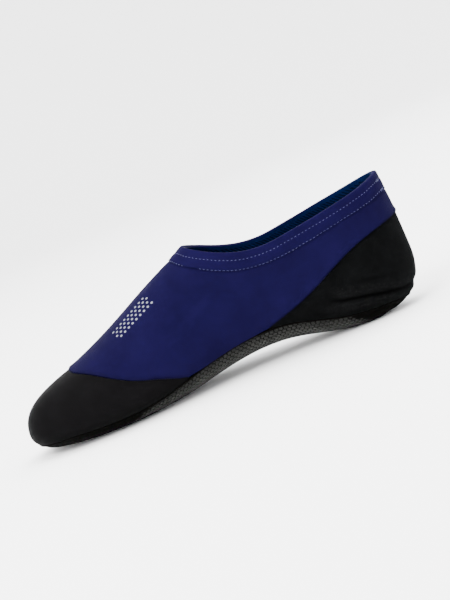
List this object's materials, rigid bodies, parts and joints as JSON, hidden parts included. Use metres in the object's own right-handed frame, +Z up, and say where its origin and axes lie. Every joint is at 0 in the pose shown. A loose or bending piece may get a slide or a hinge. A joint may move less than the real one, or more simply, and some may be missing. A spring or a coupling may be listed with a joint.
{
  "type": "water shoe",
  "caption": "Low-cut neoprene water shoe for the right foot, with a stretch upper, folded collar band, black toe and heel panels and a grip-textured sole that wraps up the arch.",
  "frame": {"origin": "on the floor, under the middle of the shoe's bounding box", "axes": "+Z up, toe towards -X, heel towards +X, inner side of the foot towards -Y"},
  "size_m": [0.2642, 0.0932, 0.0879],
  "materials": {
    "upper_fabric": "blue stretch knit on neoprene foam, satin",
    "band_fabric": "blue stretch knit strip, folded and stitched, satin",
    "toe_neoprene": "black smooth-skin neoprene, soft sheen",
    "heel_jersey": "black brushed jersey on neoprene foam, matt",
    "sole_rubber": "dark grey grip print of small hexagons, satin",
    "insole_foam": "thin foam faced with dark blue knit, matt"
  },
  "bodies": {
    "root": {"upper": "upper_fabric", "collar_band": "band_fabric", "toe_cap": "toe_neoprene", "heel_cup": "heel_jersey", "sole": "sole_rubber", "insole": "insole_foam"}
  },
  "joints": []
}
